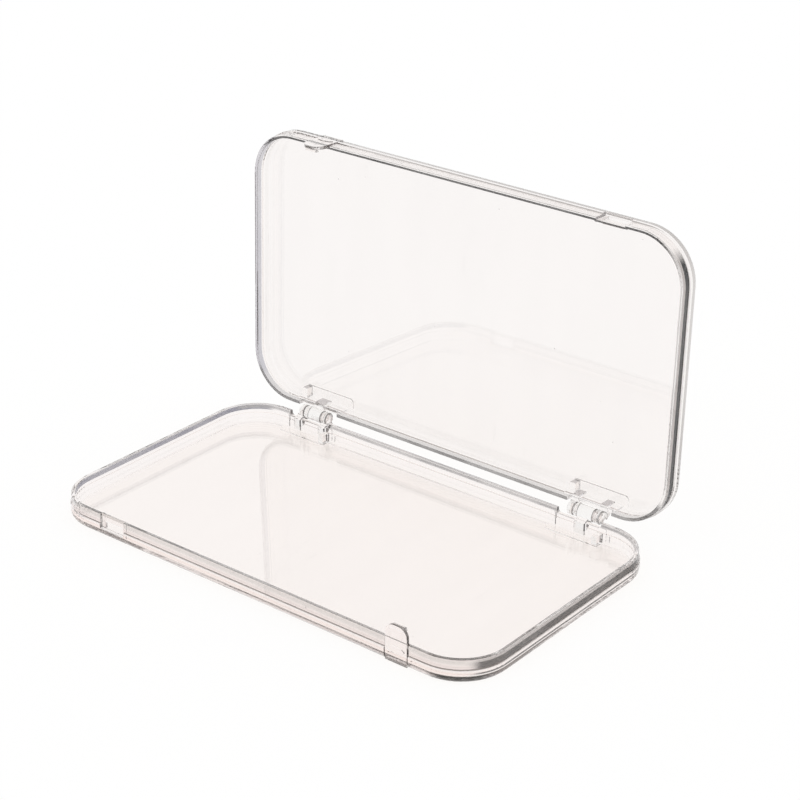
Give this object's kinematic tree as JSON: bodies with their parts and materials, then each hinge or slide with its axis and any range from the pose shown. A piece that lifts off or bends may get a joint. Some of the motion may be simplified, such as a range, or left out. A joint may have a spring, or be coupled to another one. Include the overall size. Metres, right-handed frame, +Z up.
{
  "type": "nail storage box",
  "caption": "Flat clear plastic box with rounded corners, a hinged lid standing open, snap latches at the front, for storing press-on nails.",
  "frame": {"origin": "centre of the base's underside, on the table", "axes": "+X to the right along the long side seen from the front, +Y to the back where the hinges are, +Z up"},
  "size_m": [0.15, 0.0959, 0.0932],
  "materials": {
    "clear_polystyrene": "gloss"
  },
  "bodies": {
    "base": {"base": "clear_polystyrene"},
    "lid": {"lid": "clear_polystyrene"}
  },
  "joints": [
    {"name": "lid_hinge", "type": "hinge", "parent": "base", "child": "lid", "pos_m": [0, 0.04355, 0.0069], "axis": [1, 0, 0], "range_deg": [-88.2, 91.8]}
  ]
}
